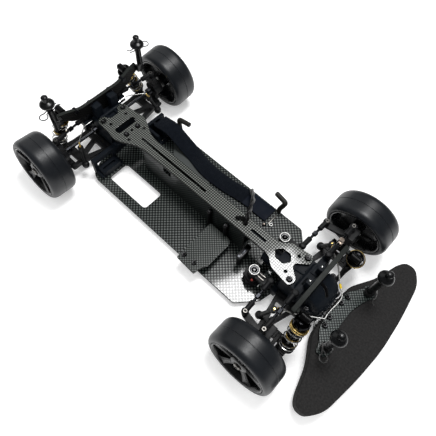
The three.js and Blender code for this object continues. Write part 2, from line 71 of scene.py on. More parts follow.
X, Y, Z = Vector((1, 0, 0)), Vector((0, 1, 0)), Vector((0, 0, 1))
SIDES = {"left": 1, "right": -1}
ENDS = {"front": 1, "rear": -1}
CORNERS = [(end, side) for end in ENDS for side in SIDES]

SCENE = bpy.context.scene
JOINTS = {joint["name"]: joint for joint in frame["joints"]}
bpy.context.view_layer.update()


def place(x, y, z):
    """A point measured from the middle of the wheelbase, in the frame."""
    return Vector((x - MIDDLE, y, z))


def pair(x, y, z):
    """The same point on both sides of the car, left first."""
    return [place(x, sign * y, z) for sign in SIDES.values()]


def joint_place(name):
    return Vector(JOINTS[name]["pos_m"]) / MM


def add_object(name, data):
    added = bpy.data.objects.new(name, data)
    SCENE.collection.objects.link(added)
    return added


# ---------- camera, floor and light ----------

CAMERA_PLACE = Vector((115.98, -144.77, 380.21))
CAMERA_TARGET = Vector((2.41, -2.41, 20))
CAMERA_ROLL = math.radians(4.83)
SENSOR_WIDTH = 36
FOCAL_LENGTH = 35.2
FLOOR_REACH = 6  # metres
WORLD_STRENGTH = 0.12


def make_camera():
    data = bpy.data.cameras.new("camera")
    data.sensor_width = SENSOR_WIDTH
    data.lens = FOCAL_LENGTH
    data.clip_start = 0.01
    camera = add_object("camera", data)
    look = (CAMERA_TARGET - CAMERA_PLACE).to_track_quat("-Z", "Y").to_matrix().to_4x4()
    roll = Matrix.Rotation(CAMERA_ROLL, 4, "Z")
    camera.matrix_world = Matrix.Translation(CAMERA_PLACE * MM) @ look @ roll
    SCENE.camera = camera


def area_light(name, where, towards, size, power, mirrored=True, spin=0.0):
    """A soft rectangular light, measured in metres: size is (width, height), spin turns it about its
    beam in degrees, and glossy surfaces show it only when it is mirrored."""
    data = bpy.data.lights.new(name, "AREA")
    data.shape = "RECTANGLE"
    data.size, data.size_y = size
    data.energy = power
    light = add_object(name, data)
    aim = (Vector(towards) - Vector(where)).to_track_quat("-Z", "Y").to_matrix().to_4x4()
    light.matrix_world = Matrix.Translation(where) @ aim @ Matrix.Rotation(math.radians(spin), 4, "Z")
    light.visible_glossy = mirrored


def make_light():
    area_light("overhead_softbox", (-0.005, 0.25, 1.0), (-0.005, 0.25, 0), (0.24, 0.34), 7, spin=-24)
    area_light("rear_fill", (-1.4, 0.3, 1.0), (0, 0, 0), (1.4, 1.4), 3.8)
    area_light("front_fill", (1.1, 0.2, 1.0), (0, 0, 0), (1.2, 1.2), 7, mirrored=False)
    area_light("right_fill", (0.1, -1.1, 1.0), (0, 0, 0), (1.2, 1.2), 8, mirrored=False)
    area_light("high_fill", (0, 0, 1.8), (0, 0, 0), (1.6, 1.6), 9, mirrored=False)
    world = bpy.data.worlds.new("studio")
    SCENE.world = world
    world.use_nodes = True
    background = world.node_tree.nodes["Background"]
    background.inputs["Color"].default_value = (1, 1, 1, 1)
    background.inputs["Strength"].default_value = WORLD_STRENGTH


def make_floor():
    data = bpy.data.meshes.new("floor")
    corners = [(-1, -1), (1, -1), (1, 1), (-1, 1)]
    data.from_pydata([(x * FLOOR_REACH, y * FLOOR_REACH, 0) for x, y in corners], [], [(0, 1, 2, 3)])
    floor = add_object("floor", data)
    data.materials.append(floor_material())


# ---------- materials ----------


class Paint:
    """A node material: a principled shader and short calls that feed it."""

    def __init__(self, name, colour, roughness, metallic=0.0):
        self.material = bpy.data.materials.new(name)
        self.material.use_nodes = True
        self.tree = self.material.node_tree
        self.shader = self.tree.nodes["Principled BSDF"]
        self.set("Base Color", (*colour, 1))
        self.set("Roughness", roughness)
        self.set("Metallic", metallic)
        self.coordinates = self.node("ShaderNodeTexCoord", {}).outputs["Object"]

    def set(self, socket, value):
        """A number is set on the shader's socket, and a node's output is linked to it."""
        self.feed(self.shader.inputs[socket], value)

    def feed(self, target, value):
        if isinstance(value, bpy.types.NodeSocket):
            self.tree.links.new(value, target)
        else:
            target.default_value = value

    def node(self, kind, inputs, **settings):
        """A new node with its settings, and its inputs set or linked."""
        node = self.tree.nodes.new(kind)
        for name, value in settings.items():
            setattr(node, name, value)
        for name, value in inputs.items():
            self.feed(node.inputs[name], value)
        return node

    def math(self, operation, a, b=0.0, c=0.0):
        return self.node("ShaderNodeMath", {0: a, 1: b, 2: c}, operation=operation).outputs[0]

    def counted(self, size):
        """The piece's coordinates, counted in steps of that size in millimetres."""
        inputs = {"Vector": self.coordinates, "Scale": (1 / (size * MM),) * 3}
        return self.node("ShaderNodeMapping", inputs).outputs[0]

    def noise(self, size, detail=3.0):
        """Noise with features of that size in millimetres."""
        inputs = {"Vector": self.counted(size), "Scale": 1.0, "Detail": detail}
        return self.node("ShaderNodeTexNoise", inputs).outputs["Fac"]

    def span(self, value, low, high):
        """Turns a value that varies around 0.5 into one between low and high."""
        inputs = {"Value": value, "From Min": 0.25, "From Max": 0.75, "To Min": low, "To Max": high}
        return self.node("ShaderNodeMapRange", inputs).outputs["Result"]

    def between(self, value, colour_a, colour_b):
        node = self.node("ShaderNodeMix", {"Factor": value}, data_type="RGBA")
        node.inputs[6].default_value = (*colour_a, 1)
        node.inputs[7].default_value = (*colour_b, 1)
        return node.outputs[2]

    def mottle(self, value, colour_a, colour_b):
        """Colours the surface between two colours by a value that varies around 0.5."""
        self.set("Base Color", self.between(self.span(value, 0, 1), colour_a, colour_b))

    def bump(self, height, depth):
        """Raises the surface by that many millimetres times the height value."""
        node = self.node("ShaderNodeBump", {"Height": height, "Distance": depth * MM, "Strength": 1.0})
        self.set("Normal", node.outputs["Normal"])


def floor_material():
    paint = Paint("floor", (0.93, 0.93, 0.93), 0.85)
    paint.set("Roughness", paint.span(paint.noise(40), 0.8, 0.9))
    paint.set("Specular IOR Level", 0.1)
    paint.set("Emission Color", (1, 1, 1, 1))
    paint.set("Emission Strength", 0.25)
    return paint.material


def carbon(name, axes, tow, shades, roughness=0.4, glint=1.0, shine=0.7, bias=False):
    """Plain-woven carbon sheet under clear resin. Axes are the two the sheet lies along, tow is one
    strand's width, shades are the colours between the strands and at their crowns, glint is how
    much resin lies over them, shine is how much the crowns reflect, and bias turns the weave to
    run at 45 degrees to the axes."""
    paint = Paint(name, shades[0], roughness)
    split = paint.node("ShaderNodeSeparateXYZ", {0: paint.counted(tow)}).outputs
    along, across = split[axes[0]], split[axes[1]]
    if bias:
        mixed = [paint.math("ADD", along, across), paint.math("SUBTRACT", along, across)]
        along, across = (paint.math("MULTIPLY", value, math.sqrt(0.5)) for value in mixed)
    step = paint.math("ADD", paint.math("FLOOR", along), paint.math("FLOOR", across))
    over = paint.math("LESS_THAN", paint.math("FLOORED_MODULO", step, 2.0), 1.0)
    arches = [paint.math("SINE", paint.math("MULTIPLY", paint.math("FRACT", direction), math.pi))
              for direction in (along, across)]
    crown = paint.math("MULTIPLY", *arches)
    lit = paint.math("MULTIPLY", over, paint.math("POWER", crown, 0.5))
    lit = paint.math("MULTIPLY", lit, paint.span(paint.noise(0.6, 4.0), 0.75, 1.1))
    paint.set("Base Color", paint.between(lit, *shades))
    paint.set("Roughness", paint.span(paint.noise(18), roughness - 0.05, roughness + 0.05))
    paint.set("Specular IOR Level", paint.math("MULTIPLY_ADD", lit, shine, 0.12))
    paint.bump(lit, 0.02)
    paint.set("Coat Weight", paint.math("MULTIPLY_ADD", lit, glint * 0.35, glint * 0.65))
    paint.set("Coat Roughness", 0.08)
    return paint.material


def moulded(name, colour, roughness=0.5, speckle=0.5, shine=0.25):
    """Fibre-filled moulded plastic: a fine eggshell grain with faint lighter flecks."""
    paint = Paint(name, colour, roughness)
    flecks = paint.noise(0.9, 5.0)
    lighter = tuple(c * 2 + 0.001 for c in colour)
    paint.set("Base Color", paint.between(paint.span(flecks, 0.0, speckle), colour, lighter))
    paint.set("Roughness", paint.span(paint.noise(6), roughness - 0.08, roughness + 0.1))
    paint.set("Specular IOR Level", shine)
    paint.bump(paint.noise(0.4, 4.0), 0.08 * roughness ** 2 + 0.01)
    return paint.material


def tyre_rubber():
    """Hard slick tyre: satin, with faint scuffs and a dusting that dulls it in patches."""
    paint = Paint("tyre_rubber", (0.014, 0.016, 0.020), 0.4)
    patches = paint.noise(22, 4.0)
    fine = paint.noise(1.2, 6.0)
    paint.mottle(patches, (0.0035, 0.0045, 0.0060), (0.0075, 0.009, 0.0115))
    paint.set("Roughness", paint.math("ADD", paint.span(patches, 0.34, 0.44), paint.span(fine, -0.03, 0.05)))
    paint.bump(fine, 0.03)
    paint.set("Specular IOR Level", 0.4)
    return paint.material


def metal(name, colour, roughness):
    """Machined metal, with fine marks and duller patches."""
    paint = Paint(name, colour, roughness, metallic=1.0)
    marks = paint.noise(0.5, 4.0)
    duller = tuple(c * 0.72 for c in colour)
    paint.mottle(paint.noise(5), colour, duller)
    paint.set("Roughness", paint.span(marks, roughness - 0.08, roughness + 0.12))
    paint.bump(marks, 0.01)
    return paint.material


def foam_material():
    """Closed-cell foam: small round cells that scatter light, with a few larger pits."""
    paint = Paint("foam", (0.03, 0.03, 0.031), 0.95)
    round_cells = {"Vector": paint.counted(0.8), "Scale": 1.0}
    cells = paint.node("ShaderNodeTexVoronoi", round_cells).outputs["Distance"]
    grain = paint.noise(1.6, 6.0)
    paint.mottle(grain, (0.012, 0.012, 0.012), (0.028, 0.027, 0.027))
    paint.set("Roughness", paint.span(grain, 0.88, 1.0))
    paint.bump(paint.math("ADD", cells, grain), 0.05)
    paint.set("Specular IOR Level", 0.15)
    return paint.material


def webbing_material():
    """Hook-and-loop strap: a mat of short loops over a ribbed ground."""
    paint = Paint("webbing", (0.008, 0.010, 0.016), 0.9)
    loops = paint.noise(0.5, 6.0)
    ribs = {"Vector": paint.counted(1.1), "Scale": 1.0, "Distortion": 2.0, "Detail": 2.0}
    wave = paint.node("ShaderNodeTexWave", ribs).outputs["Fac"]
    paint.mottle(paint.noise(4), (0.003, 0.0045, 0.0075), (0.006, 0.008, 0.012))
    paint.set("Roughness", paint.span(loops, 0.8, 1.0))
    paint.bump(paint.math("ADD", loops, wave), 0.15)
    paint.set("Specular IOR Level", 0.08)
    paint.set("Sheen Weight", 0.02)
    paint.set("Sheen Roughness", 0.5)
    return paint.material


# The two axes that a carbon sheet lies along.
LEVEL, LENGTHWISE, CROSSWISE = (0, 1), (0, 2), (1, 2)

CARBON_DECK = carbon("carbon_deck", LEVEL, 1.95, [(0.002, 0.003, 0.003), (0.062, 0.075, 0.069)])
CARBON_UPPER = carbon("carbon_upper", LEVEL, 1.45, [(0.005, 0.006, 0.005), (0.145, 0.158, 0.141)],
                      bias=True)
CARBON_TRAY = carbon("carbon_tray", LEVEL, 1.5, [(0.005, 0.007, 0.006), (0.058, 0.069, 0.063)],
                     glint=0.6, shine=0.5)
CARBON_PLATE = carbon("carbon_plate", LEVEL, 1.5, [(0.006, 0.009, 0.009), (0.065, 0.082, 0.076)],
                      glint=0.4, shine=0.5)
CARBON_WALL = carbon("carbon_wall", CROSSWISE, 1.4, [(0.002, 0.002, 0.002), (0.006, 0.006, 0.006)],
                     roughness=0.5, glint=0.0, shine=0.1)
CARBON_KEEL = carbon("carbon_keel", LENGTHWISE, 1.85, [(0.0015, 0.002, 0.002), (0.024, 0.031, 0.029)],
                     roughness=0.5, glint=0.2, shine=0.3)
HOOK_SHEET = moulded("hook_sheet", (0.009, 0.0085, 0.0075), 0.45, 1.0, 0.25)
# A lighter grey for the towers' upward faces: a painted highlight along their top edges.
TOWER_TOP_HIGHLIGHT = moulded("tower_top_highlight", (0.012, 0.0135, 0.0125), 0.5, 0.8, 0.12)
LINER_FILM = moulded("liner_film", (0.034, 0.039, 0.038), 0.45, 0.3, 0.4)
TIE_PLASTIC = moulded("tie_plastic", (0.0012, 0.0012, 0.0014), 0.35, 0.1, 0.15)
POST_PLASTIC = moulded("post_plastic", (0.0020, 0.0022, 0.0026), 0.28, 0.3, 0.4)
BLACK_PLASTIC = moulded("black_plastic", (0.0025, 0.0027, 0.0032))
CASE_PLASTIC = moulded("case_plastic", (0.0030, 0.0046, 0.0070), 0.5, 0.35, 0.12)
GLOSS_PLASTIC = moulded("gloss_plastic", (0.0020, 0.0022, 0.0026), 0.25, 0.2, 0.5)
RIM_LIP = moulded("rim_lip", (0.022, 0.023, 0.025), 0.25, 0.2, 0.5)
TYRE = tyre_rubber()
BLACK_METAL = metal("black_metal", (0.022, 0.023, 0.026), 0.3)
GLOSS_BLACK = metal("gloss_black", (0.010, 0.010, 0.011), 0.16)
SCREW_METAL = metal("screw_metal", (0.05, 0.05, 0.052), 0.34)
STEEL = metal("steel", (0.62, 0.62, 0.61), 0.24)
DULL_STEEL = metal("dull_steel", (0.22, 0.21, 0.195), 0.34)
RACE_STEEL = metal("race_steel", (0.8, 0.8, 0.78), 0.5)
GREY_STEEL = metal("grey_steel", (0.42, 0.44, 0.47), 0.5)
TAN_STEEL = metal("tan_steel", (0.34, 0.28, 0.235), 0.35)
GOLD = metal("gold", (0.86, 0.62, 0.22), 0.24)
FOAM = foam_material()
WEBBING = webbing_material()
STRAP_PAD = moulded("strap_pad", (0.004, 0.006, 0.011), 0.6, 0.3, 0.08)
CLIP_WIRE = metal("clip_wire", (0.28, 0.28, 0.28), 0.4)
RED = moulded("red_plastic", (0.16, 0.012, 0.006), 0.4, 0.2)
YELLOW = moulded("yellow_plastic", (0.6, 0.42, 0.015), 0.4, 0.2)


# ---------- mesh building ----------


def square_to(along):
    """Two directions square to the given one and to each other."""
    helper = Z if abs(along.z) < 0.9 else X
    across = helper.cross(along).normalized()
    return across, along.cross(across)


def turn(angle, across, up):
    """The direction at that angle, counted from across and towards up."""
    return math.cos(angle) * across + math.sin(angle) * up


def eased(profile, size):
    """A turned profile with every corner but its two ends cut off at that size."""
    points = [Vector(p[:2]) for p in profile]
    result = [profile[0]]
    for before, here, after in zip(points, points[1:], points[2:]):
        back, forth = before - here, after - here
        step = min(size, back.length / 2.2, forth.length / 2.2)
        result.append(tuple(here + back.normalized() * step))
        result.append(tuple(here + forth.normalized() * step))
    result.append(profile[-1])
    return result


def drum(low, high, radius, ease=0.4):
    """The profile of a plain cylinder whose rims are eased."""
    return eased([(low, 0), (low, radius), (high, radius), (high, 0)], ease)


def smooth_path(points, steps):
    """A path through the points with rounded bends."""
    padded = [2 * points[0] - points[1], *points, 2 * points[-1] - points[-2]]
    path = []
    for a, b, c, d in zip(padded, padded[1:], padded[2:], padded[3:]):
        for i in range(steps):
            t = i / steps
            path.append(0.5 * ((2 * b) + (c - a) * t + (2 * a - 5 * b + 4 * c - d) * t * t
                               + (3 * b - a - 3 * c + d) * t ** 3))
    return path + [points[-1]]


def direction_at(path, i):
    """The direction of the path at one of its points."""
    return (path[min(i + 1, len(path) - 1)] - path[max(i - 1, 0)]).normalized()


def route(points, steps):
    """A smooth path through points measured from the middle of the wheelbase."""
    return smooth_path([place(*point) for point in points], steps)


class Piece:
    """A mesh under construction, in millimetres, that becomes one Blender object."""

    def __init__(self, name, material):
        self.name = name
        self.mesh = bmesh.new()
        self.materials = []
        self.paint(material)

    def paint(self, material):
        """What is built after this call has this material."""
        if material not in self.materials:
            self.materials.append(material)
        self.coat = self.materials.index(material)

    def face(self, corners):
        made = self.mesh.faces.new(corners)
        made.material_index = self.coat

    def skin(self, rings, loop=False):
        """Joins rings of points one after the other, and closes the ends or joins them too."""
        made = [[self.mesh.verts.new(point) for point in ring] for ring in rings]
        for a, b in zip(made, made[1:] + made[:1] if loop else made[1:]):
            for i in range(max(len(a), len(b))):
                j = i + 1
                corners = dict.fromkeys([a[i % len(a)], a[j % len(a)], b[j % len(b)], b[i % len(b)]])
                if len(corners) > 2:
                    self.face(list(corners))
        if not loop:
            for ring in (made[0], made[-1]):
                if len(ring) > 2:
                    self.face(ring)
        return self

    def turned(self, start, along, profile, sides=28, loop=False):
        """A shape of revolution. The profile holds (distance along the axis, radius), and a third
        number makes that ring a polygon with so many corners."""
        across, up = square_to(along)
        rings = []
        for distance, radius, *corners in profile:
            middle = start + along * distance
            ring = [middle]
            if radius > 0:
                ring = []
                for i in range(sides):
                    angle = 2 * math.pi * i / sides
                    reach = radius
                    if corners:
                        wedge = math.pi / corners[0]
                        reach *= math.cos(wedge) / math.cos(angle % (2 * wedge) - wedge)
                    ring.append(middle + reach * turn(angle, across, up))
            rings.append(ring)
        return self.skin(rings, loop)

    def cylinder(self, start, end, radius, ease=0.4, sides=20):
        length = (end - start).length
        return self.turned(start, (end - start).normalized(), drum(0, length, radius, ease), sides)

    def tube(self, path, radius, sides=10):
        """A round wire that follows the path."""
        rings = []
        across = square_to(direction_at(path, 0))[0]
        for i, point in enumerate(path):
            along = direction_at(path, i)
            across = (across - along * across.dot(along)).normalized()
            up = along.cross(across)
            angles = [2 * math.pi * k / sides for k in range(sides)]
            rings.append([point + radius * turn(angle, across, up) for angle in angles])
        return self.skin(rings)

    def block(self, low, high, ease=0.4):
        """A box with its edges eased between two corners, measured from the middle of the wheelbase."""
        corners = bmesh.ops.create_cube(self.mesh, size=1)["verts"]
        low, high = place(*low), place(*high)
        for vertex in corners:
            vertex.co = Vector(a + (b - a) * (c + 0.5) for a, b, c in zip(low, high, vertex.co))
        edges = [edge for edge in self.mesh.edges if edge.verts[0] in corners]
        result = bmesh.ops.bevel(self.mesh, geom=edges, offset=ease, segments=2, profile=0.5,
                                 affect="EDGES", clamp_overlap=True)
        for vertex in result["verts"]:
            for face in vertex.link_faces:
                face.material_index = self.coat

    def screw(self, where, radius, height, along=Z):
        """A button-head screw with a drilled hexagon socket: where is under its head, along points
        out."""
        socket = radius * 0.5
        head = [(0, 0), (0, radius * 0.94), (height * 0.25, radius), (height * 0.6, radius * 0.9),
                (height * 0.92, radius * 0.68), (height, socket * 1.22), (height * 0.98, socket, 6),
                (height * 0.5, socket * 0.96, 6), (height * 0.05, 0)]
        return self.turned(where, along, head, 24)

    def done(self, body="chassis", slot=None, sharp=34, replaces=()):
        """Makes the Blender object, in metres, and lets it ride on its body."""
        bmesh.ops.recalc_face_normals(self.mesh, faces=self.mesh.faces)
        data = bpy.data.meshes.new(self.name)
        self.mesh.to_mesh(data)
        self.mesh.free()
        data.transform(Matrix.Scale(MM, 4))
        for material in self.materials:
            data.materials.append(material)
        data.shade_smooth()
        data.set_sharp_from_angle(angle=math.radians(sharp))
        piece = add_object(self.name, data)
        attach(piece, body)
        if replaces:
            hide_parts(*replaces)
        return piece


def finished(node, material, body="chassis", ease=0.3):
    """The node's own shape with its edges eased and a detailed material, which stands for it."""
    mesh = bmesh.new()
    mesh.from_mesh(frame["nodes"][node].data)
    bmesh.ops.remove_doubles(mesh, verts=mesh.verts, dist=0.002 * MM)
    bmesh.ops.dissolve_limit(mesh, angle_limit=math.radians(1), verts=mesh.verts, edges=mesh.edges)
    corners = [e for e in mesh.edges if e.is_manifold and e.calc_face_angle() > math.radians(28)]
    bmesh.ops.bevel(mesh, geom=corners, offset=ease * MM, segments=2, profile=0.5, affect="EDGES",
                    clamp_overlap=False)
    data = bpy.data.meshes.new(node)
    mesh.to_mesh(data)
    mesh.free()
    data.materials.clear()
    data.materials.append(material)
    data.shade_smooth()
    data.set_sharp_from_angle(angle=math.radians(40))
    for polygon in data.polygons:
        polygon.material_index = 0
    piece = add_object(f"{node}_skin", data)
    weighted = piece.modifiers.new("even_normals", "WEIGHTED_NORMAL")
    weighted.keep_sharp = True
    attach(piece, body)
    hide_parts(node)
    return piece


# ---------- decks, towers and cases ----------


FIXED_PARTS = {
    "lower_deck": CARBON_DECK,
    "upper_deck": CARBON_UPPER,
    "centre_spine": CARBON_KEEL,
    "bumper_support_plate": CARBON_PLATE,
    "electronics_plate": CARBON_TRAY,
    "front_gear_case": CASE_PLASTIC,
    "rear_gear_case": CASE_PLASTIC,
    "rear_bracket_left": CASE_PLASTIC,
    "rear_bracket_right": CASE_PLASTIC,
}
DARK_EDGED = ("lower_deck", "upper_deck", "bumper_support_plate", "electronics_plate")


def make_plates():
    """Cut carbon edges are dull and dark, and the towers' upward faces are painted a lighter grey: a painted
    highlight along their top edges.
    """
    for node, material in FIXED_PARTS.items():
        plate = finished(node, material)
        if node in DARK_EDGED:
            plate.data.materials.append(CARBON_WALL)
            for polygon in plate.data.polygons:
                polygon.material_index = int(abs(polygon.normal.z) < 0.5)
    finished("drag_link", CARBON_PLATE, "drag_link")
    for end in ENDS:
        tower = finished(f"{end}_shock_tower", CARBON_WALL)
        tower.data.materials.append(TOWER_TOP_HIGHLIGHT)
        for polygon in tower.data.polygons:
            # Faces that look up get the lighter grey: a painted highlight on the towers' top edges.
            if polygon.normal.z > 0.6:
                polygon.material_index = 1


HOOK_STARTS = {"front": 60, "rear": -78}
HOOK_RADIUS = 2.5
# Distance along the car from the hook's foot, distance to the left of the middle, height.
HOOK_BENDS = [(0, 50.3, DECK_TOP), (0.4, 50.6, 13), (2.4, 51.8, 20.5), (2.8, 52.4, 23.6), (0.6, 53.0, 24.7),
              (-9.2, 54.5, 25)]


def make_hooks():
    """The battery hooks stand on the deck's left edge: round bars bent over at the top."""
    for end, start in HOOK_STARTS.items():
        way = ENDS[end]
        path = route([(start + way * along, y, z) for along, y, z in HOOK_BENDS], 5)
        hook = Piece(f"battery_hook_{end}_bar", HOOK_SHEET)
        hook.tube(path, HOOK_RADIUS, 14)
        hook.turned(path[-1], -X * way, drum(-0.6, 1.4, HOOK_RADIUS + 0.1, 0.9), 16)
        hook.turned(path[0], Z, drum(0, 1.6, HOOK_RADIUS + 0.1), 16)
        hook.done(replaces=[f"battery_hook_{end}"])


def make_bumper():
    bumper = finished("foam_bumper", FOAM, ease=1.0)


# Each screw's x, distance from the middle, height under its head, radius and head height.
SCREW_PAIRS = {
    "upper_deck_screws": [(114.6, 12.7, UPPER_DECK_TOP, 2.8, 1.7), (-119.7, 12.5, UPPER_DECK_TOP, 2.8, 1.7),
                          (-92.1, 7.2, UPPER_DECK_TOP, 2.8, 1.7)],
    "bumper_screws": [(160, 16.6, BUMPER_PLATE_TOP, 2.7, 1.8), (158.8, 8.6, BUMPER_PLATE_TOP, 2.7, 1.8),
                      (150.5, 10.7, 31, 2.2, 1.4)],
}
TRAY_SCREWS = [(29, -51), (41, -50.5)]
TRAY_TOP = 20
STANDOFFS = [(20.8, -9.4), (41.4, -9.8)]
STANDOFF_TOP = DECK_TOP + 29
DECK_SCREWS = [(59, 28.5), (-100, 40)]
DECK_RING = (64.3, 32.4)


def make_screws():
    """Button-head screws: in pairs across the car, then the single ones with what stands by them."""
    for name, rows in SCREW_PAIRS.items():
        piece = Piece(name, SCREW_METAL)
        for x, y, z, radius, height in rows:
            for where in pair(x, y, z):
                piece.screw(where, radius, height)
        piece.done()

    piece = Piece("plate_screws", SCREW_METAL)
    for x, y in TRAY_SCREWS:
        piece.screw(place(x, y, TRAY_TOP), 2.5, 1.8)
    for x, y in STANDOFFS:
        piece.paint(TIE_PLASTIC)
        piece.turned(place(x, y, DECK_TOP), Z, drum(0, STANDOFF_TOP - DECK_TOP, 2.1))
        piece.paint(SCREW_METAL)
        piece.screw(place(x, y, STANDOFF_TOP), 2.4, 1.4)
    piece.done()

    piece = Piece("deck_screws", SCREW_METAL)
    for x, y in DECK_SCREWS:
        piece.screw(place(x, y, DECK_TOP), 2.3, 1.2)
    piece.paint(RACE_STEEL)
    collar = [(0, 1.0), (0, 1.9), (1.6, 1.9), (1.9, 1.6), (1.9, 1.0)]
    piece.turned(place(*DECK_RING, DECK_TOP), Z, collar, 24, loop=True)
    piece.paint(TAN_STEEL)
    piece.turned(place(*DECK_SCREWS[0], DECK_TOP + 1.1), Z, drum(0, 0.8, 1.0, 0.3), 16)
    piece.done()


# ---------- wheels ----------


def wheel_frame(end, side):
    """The wheel's middle, its outward axis and two directions square to it."""
    name = f"wheel_{end}_{side}_spin"
    out = Vector(JOINTS[name]["axis"]).normalized() * SIDES[side]
    return joint_place(name), out, X, out.cross(X)


SHOULDER_WIDTH = 6
SHOULDER_DROP = 3.8


def make_tyre(end, side):
    """A slick with round shoulders and a fine seam round the middle of its tread."""
    middle, out, _, _ = wheel_frame(end, side)
    start, low = TYRE_HALF_WIDTH - SHOULDER_WIDTH, TYRE_RADIUS - SHOULDER_DROP
    shoulder = [(start + SHOULDER_WIDTH * math.cos(t), low + SHOULDER_DROP * math.sin(t))
                for t in (math.radians(10 * k) for k in range(10))]
    half = [(12.4, RIM_RADIUS + 0.35), (12.9, 26.7), *shoulder,
            (4, TYRE_RADIUS), (0.45, TYRE_RADIUS), (0.2, TYRE_RADIUS - 0.35)]
    section = half + [(-y, r) for y, r in reversed(half)]
    piece = Piece(f"tyre_{end}_{side}_slick", TYRE)
    piece.turned(middle, out, section, 96, loop=True)
    piece.done(f"wheel_{end}_{side}", replaces=[f"tyre_{end}_{side}"], sharp=50)


# Turned parts of the rim: distance outward from the wheel's middle, radius, polygon corners.
BARREL = [(-12.9, 24.7), (-12.9, 25.7), (-12.4, RIM_RADIUS), (12.4, RIM_RADIUS), (12.9, 25.6), (12.9, 25.1),
          (12.3, 24.6), (11.4, 24.1), (6.0, 23.4), (-11, 23.7)]
LIP = [(12.5, 24.7), (12.9, 25.2), (13.0, 25.8), (12.7, RIM_RADIUS), (12.3, 25.4)]
HUB = [(-11, 0), (-11, 6.2), (5, 6.2), (6.2, 8.4), (9.4, 8.4), (10.6, 6.6), (10.6, 4.2), (9.6, 4.0), (9.6, 0)]
WHEEL_NUT = [(9.4, 0), (9.4, 3.5, 6), (11.6, 3.5, 6), (12.1, 2.9, 6), (12.2, 1.6), (11.0, 1.3), (11.0, 0)]
RIM_SIDES = 144

SPOKES = 5
FIRST_SPOKE = math.radians(18)
# Distance from the axle, half width, inner face and outer face of a spoke.
SPOKE_STATIONS = [(4.5, 2.7, 6.5, 9.4), (9, 2.5, 7.2, 9.8), (15, 2.9, 7.8, 10.6), (20, 3.7, 8.2, 11.4),
                  (24.2, 5.2, 8.0, 11.9)]


def make_rim(end, side):
    """A deep rim with five spokes that are dished along their outer face."""
    middle, out, ahead, up = wheel_frame(end, side)
    piece = Piece(f"rim_{end}_{side}_spokes", GLOSS_PLASTIC)
    piece.turned(middle, out, BARREL, RIM_SIDES, loop=True)

    def spoke_ring(reach, half_width, low, high, direction):
        aside = out.cross(direction)
        half = [(half_width, low), (half_width, high - 0.9), (half_width - 0.9, high),
                (half_width * 0.35, high - 0.7)]
        outline = [(-half_width, low)] + half + [(-a, b) for a, b in half[:0:-1]]
        return [middle + direction * reach + aside * a + out * b for a, b in outline]

    for k in range(SPOKES):
        direction = turn(2 * math.pi * k / SPOKES + FIRST_SPOKE, ahead, up)
        piece.skin([spoke_ring(*station, direction) for station in SPOKE_STATIONS])
    piece.turned(middle, out, eased(HUB, 0.4), 36)
    piece.paint(RIM_LIP)
    piece.turned(middle, out, LIP, RIM_SIDES, loop=True)
    piece.paint(DULL_STEEL)
    piece.turned(middle, out, WHEEL_NUT, 24)
    piece.turned(middle, out, drum(-22, -10.5, 2.9), 20)
    piece.done(f"wheel_{end}_{side}", replaces=[f"rim_{end}_{side}"])


# ---------- shocks ----------

SHOCK_BOTTOM = {"front": (147, 54, 19.6), "rear": (-146, 54, 20)}

# Distances down the shock from its upper eye, with radii.
SHOCK_CAP = [(2.2, 0), (2.2, 4.6), (3.0, 6.2), (4.2, 7.0), (8.2, 7.2), (8.8, 6.9), (9.0, 5.6), (9.4, 5.6),
             (9.4, 0)]
SHOCK_BODY_RADIUS = 5.4
SHOCK_BODY_END = 26
SHOCK_SEAL = [(23.4, 0), (23.4, 5.9), (25.0, 5.9), (SHOCK_BODY_END, 5.2), (SHOCK_BODY_END, 0)]
COLLAR_START = 9.5
COLLAR_END = 13
COLLAR_RADIUS = 7.5
COLLAR_KNURLS = 24
SHAFT_RADIUS = 1.5

# Distances up the shock from its lower eye.
SPRING_SEAT = 7.3
SEAT_STEPS = [(7.3, 0), (7.3, 5.4), (6.4, 7.1), (5.2, 7.2), (4.8, 6.6), (4.6, 3.2), (1.5, 2.9), (1.5, 0)]

COIL_TURNS = 4.6
COIL_WIRE = 0.55
COIL_RADIUS = 6.75
COIL_STEPS = 190
COIL_END_CLOSING = 0.7


def shock_frame(end, side):
    """The shock's upper eye, the direction down its axis and the distance to its lower eye."""
    top = joint_place(f"shock_{end}_{side}_pivot")
    x, y, z = SHOCK_BOTTOM[end]
    down = place(x, y * SIDES[side], z) - top
    return top, down.normalized(), down.length


def make_damper(end, side):
    """The shock's body: cap, upper eye with its screw, barrel, knurled gold collar and lower seal."""
    top, down, _ = shock_frame(end, side)
    piece = Piece(f"shock_{end}_{side}_damper", GLOSS_BLACK)
    piece.turned(top, down, SHOCK_CAP, 36)
    piece.turned(top, down, drum(9.2, SHOCK_BODY_END - 3, SHOCK_BODY_RADIUS, 0.3), 32)
    piece.paint(TIE_PLASTIC)
    piece.cylinder(top - X * 4.6, top + X * 4.6, 3.3, 0.7, 24)
    piece.paint(STEEL)
    inward = -X * ENDS[end]
    piece.screw(top - inward * 5.4, 1.9, 1.0, -inward)
    piece.paint(GOLD)
    for low in (COLLAR_START + 0.2, COLLAR_END - 1.2):
        rim = [(low, 5.5), (low, COLLAR_RADIUS), (low + 0.3, 7.9), (low + 0.8, 7.9),
               (low + 1.1, COLLAR_RADIUS), (low + 1.1, 5.5)]
        piece.turned(top, down, rim, 44)
    across, up = square_to(down)
    for k in range(COLLAR_KNURLS):
        out = turn(2 * math.pi * k / COLLAR_KNURLS, across, up)
        foot = top + down * (COLLAR_START + 1.1) + out * 7.2
        piece.cylinder(foot, foot + down * 1.5, 0.45, 0.1, 6)
    piece.turned(top, down, eased(SHOCK_SEAL, 0.3), 32)
    piece.done(f"shock_{end}_{side}", slot="black_alloy", replaces=[f"shock_body_{end}_{side}"])


